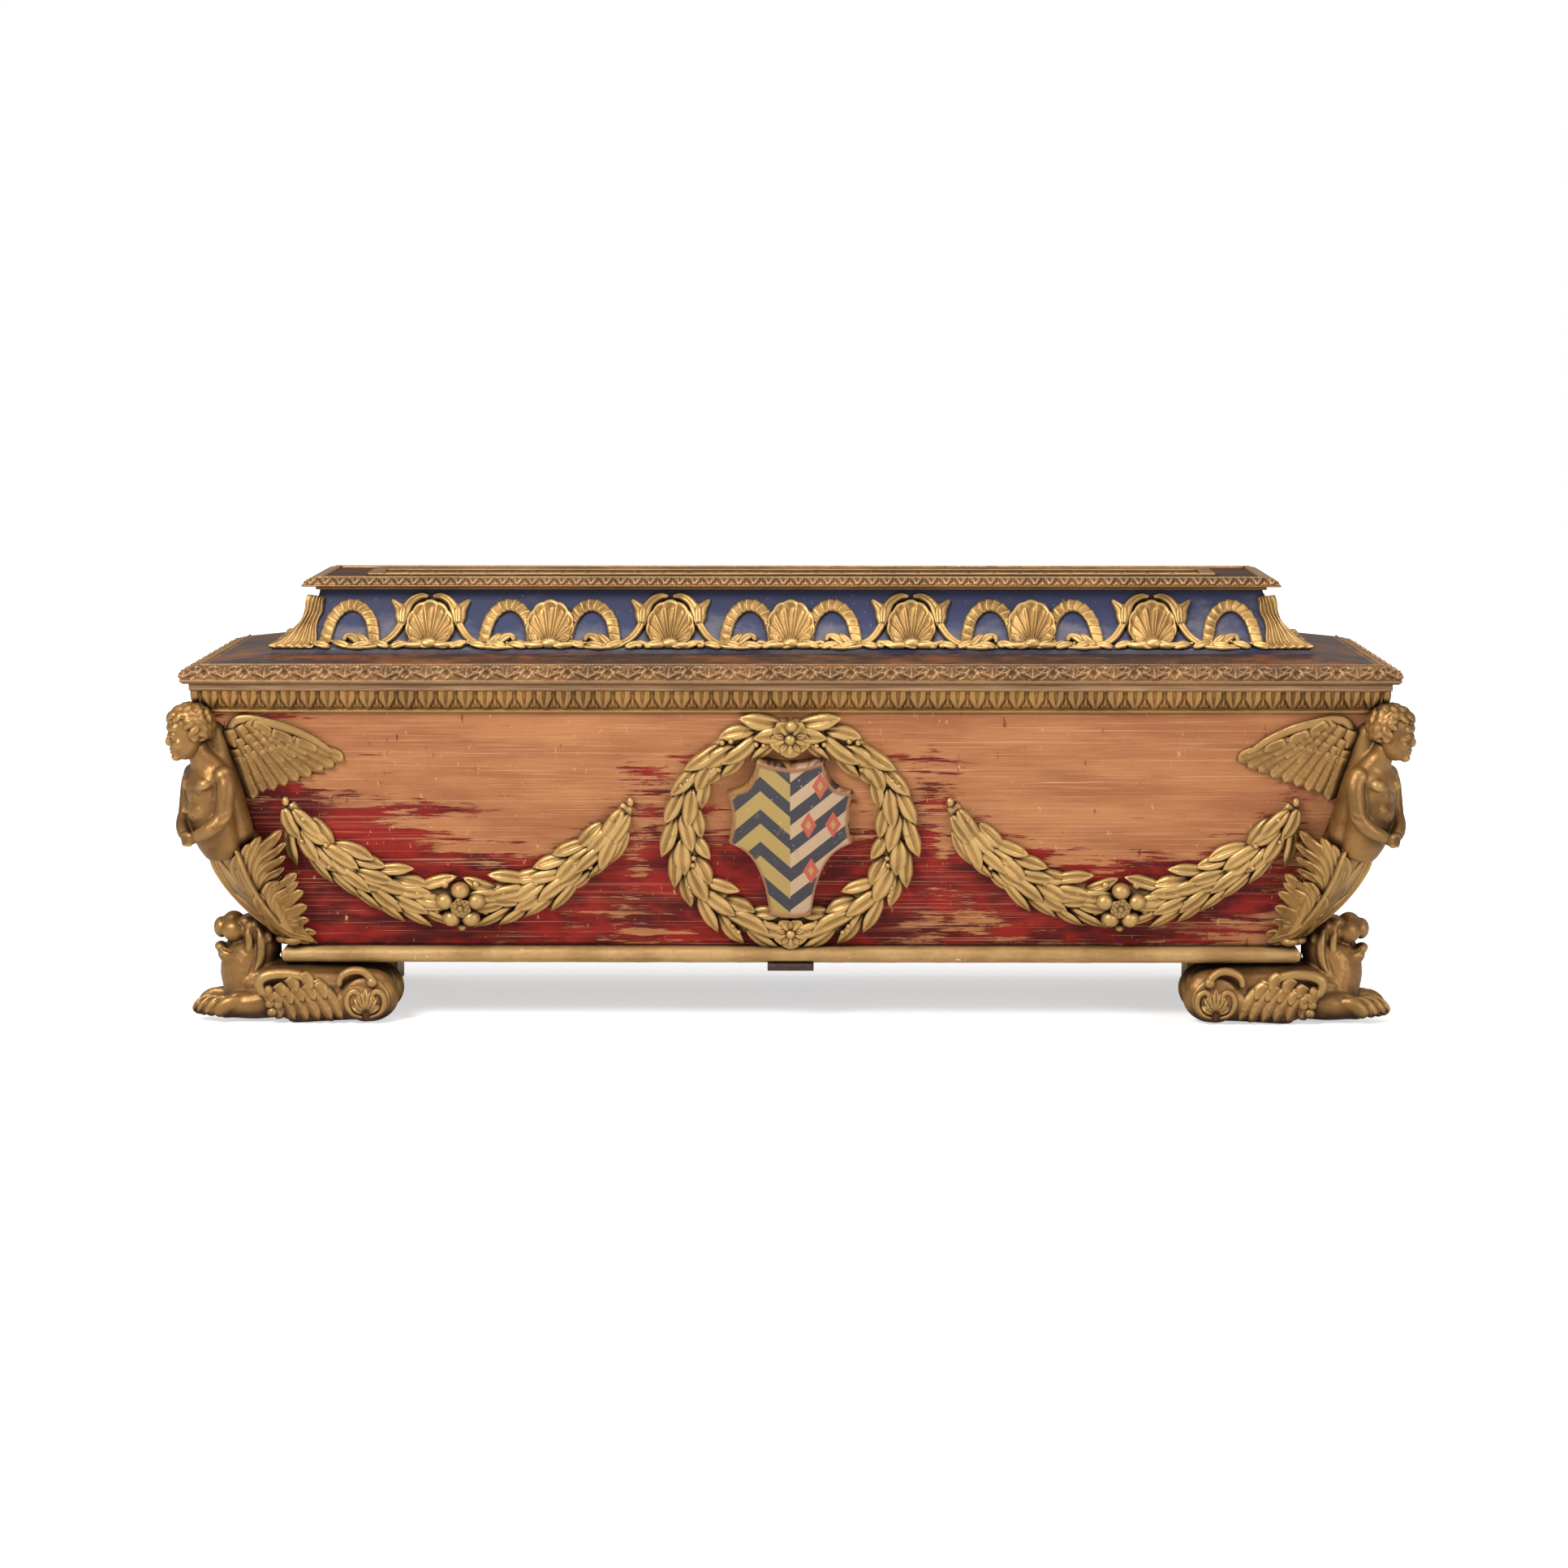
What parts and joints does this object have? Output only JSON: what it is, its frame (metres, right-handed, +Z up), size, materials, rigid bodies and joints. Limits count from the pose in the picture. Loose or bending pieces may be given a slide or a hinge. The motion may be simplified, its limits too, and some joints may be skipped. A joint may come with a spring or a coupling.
{
  "type": "cassone",
  "caption": "Sarcophagus-shaped marriage chest with a hinged coffered lid, velvet-covered sides, carved gilt figures, garlands, wreath and lion feet",
  "frame": {"origin": "on the floor under the middle of the chest", "axes": "+Z up, +X to the viewer's right when facing the front, the front faces -Y"},
  "size_m": [1.9022, 0.6356, 0.697],
  "materials": {
    "worn_velvet": "crimson silk velvet worn to its tan ground",
    "carcass_wood": "aged poplar, unpolished",
    "batten_wood": "dark stained wood",
    "base_gilding": "dull water gilding with gesso chips",
    "cornice_gilding": "water gilding on carved wood, rubbed",
    "lid_edge_gilding": "rubbed gilding over red bole",
    "tortoiseshell_paint": "glossy faux tortoiseshell paint",
    "top_paint": "dark painted wood",
    "blue_paint": "matt blue paint, rubbed to grey",
    "top_gilding": "water gilding, rubbed",
    "iron": "forged iron, dark",
    "shield_paint": "painted and gilded wood",
    "carved_gilding": "burnished water gilding over red-brown bole"
  },
  "bodies": {
    "chest": {"acanthus_left": "carved_gilding", "acanthus_right": "carved_gilding", "back_board": "carcass_wood", "base_moulding_front": "base_gilding", "base_moulding_left": "base_gilding", "base_moulding_right": "base_gilding", "bottom_batten": "batten_wood", "bottom_board": "carcass_wood", "chest_hinge_straps": "iron", "cornice_front": "cornice_gilding", "cornice_left": "cornice_gilding", "cornice_right": "cornice_gilding", "foot_front_left": "carved_gilding", "foot_front_right": "carved_gilding", "foot_rear_left": "carcass_wood", "foot_rear_right": "carcass_wood", "front_board": "carcass_wood", "front_velvet": "worn_velvet", "garland_left": "carved_gilding", "garland_right": "carved_gilding", "hinge_pins": "iron", "left_end_board": "carcass_wood", "left_velvet": "worn_velvet", "putto_left": "carved_gilding", "putto_right": "carved_gilding", "right_end_board": "carcass_wood", "right_velvet": "worn_velvet", "shield": "shield_paint", "wing_left_end": "carved_gilding", "wing_left_front": "carved_gilding", "wing_right_end": "carved_gilding", "wing_right_front": "carved_gilding", "wreath_flowers": "carved_gilding", "wreath_left": "carved_gilding", "wreath_right": "carved_gilding"},
    "lid": {"frieze_back": "blue_paint", "frieze_corner_leaves": "carved_gilding", "frieze_front": "blue_paint", "frieze_left": "blue_paint", "frieze_ribbons": "carved_gilding", "frieze_right": "blue_paint", "frieze_scrolls": "carved_gilding", "frieze_shells": "carved_gilding", "frieze_stalks": "carved_gilding", "lid_back_rail": "tortoiseshell_paint", "lid_edge_front": "lid_edge_gilding", "lid_edge_left": "lid_edge_gilding", "lid_edge_right": "lid_edge_gilding", "lid_front_rail": "tortoiseshell_paint", "lid_hinge_straps": "iron", "lid_left_rail": "tortoiseshell_paint", "lid_right_rail": "tortoiseshell_paint", "top_cornice_back": "top_gilding", "top_cornice_front": "top_gilding", "top_cornice_left": "top_gilding", "top_cornice_right": "top_gilding", "top_frame": "top_gilding", "top_panel": "top_paint"}
  },
  "joints": [
    {"name": "lid_hinge", "type": "hinge", "parent": "chest", "child": "lid", "pos_m": [0, 0.30025, 0.54125], "axis": [-1, 0, 0], "range_deg": [0, 100]}
  ]
}
